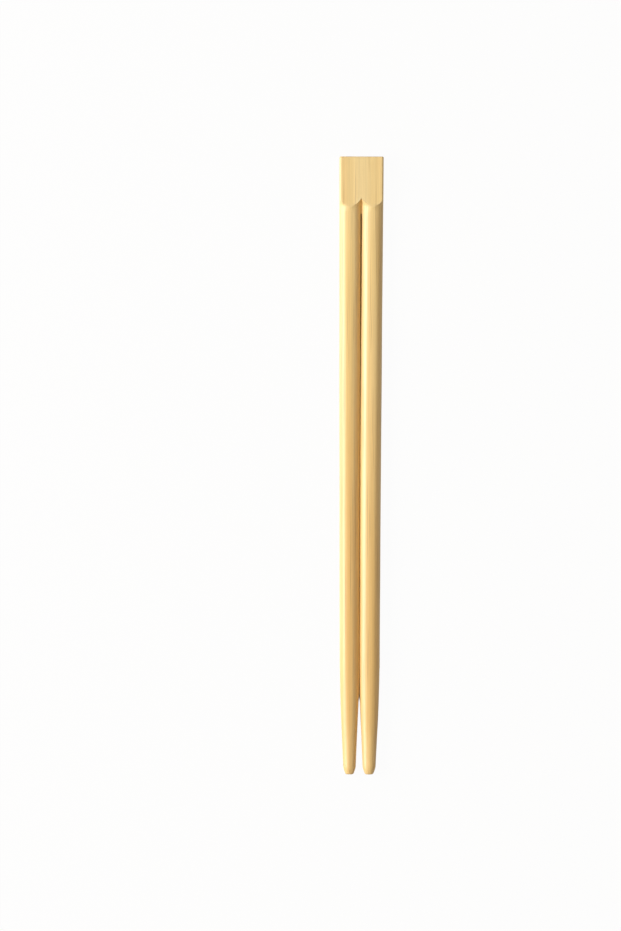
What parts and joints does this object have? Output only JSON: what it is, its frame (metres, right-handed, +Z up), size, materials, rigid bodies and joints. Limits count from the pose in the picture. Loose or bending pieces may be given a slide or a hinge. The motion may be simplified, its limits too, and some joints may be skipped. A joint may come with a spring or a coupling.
{
  "type": "disposable bamboo chopsticks",
  "caption": "Joined disposable bamboo chopsticks: a flat square head, rounded legs split by a saw kerf, and tapered blunt tips. The legs are snapped apart for eating.",
  "frame": {"origin": "under the middle of the joined sticks, in the plane of the head's back face, on which they lie", "axes": "+Y along the sticks towards the head, +Z up out of the face that shows, +X across the sticks"},
  "size_m": [0.015, 0.21, 0.005],
  "materials": {
    "bamboo": "bare planed bamboo, pale straw, with fine long fibres and a faint sheen"
  },
  "bodies": {
    "root": {"chopstick_pair": "bamboo"}
  },
  "joints": []
}
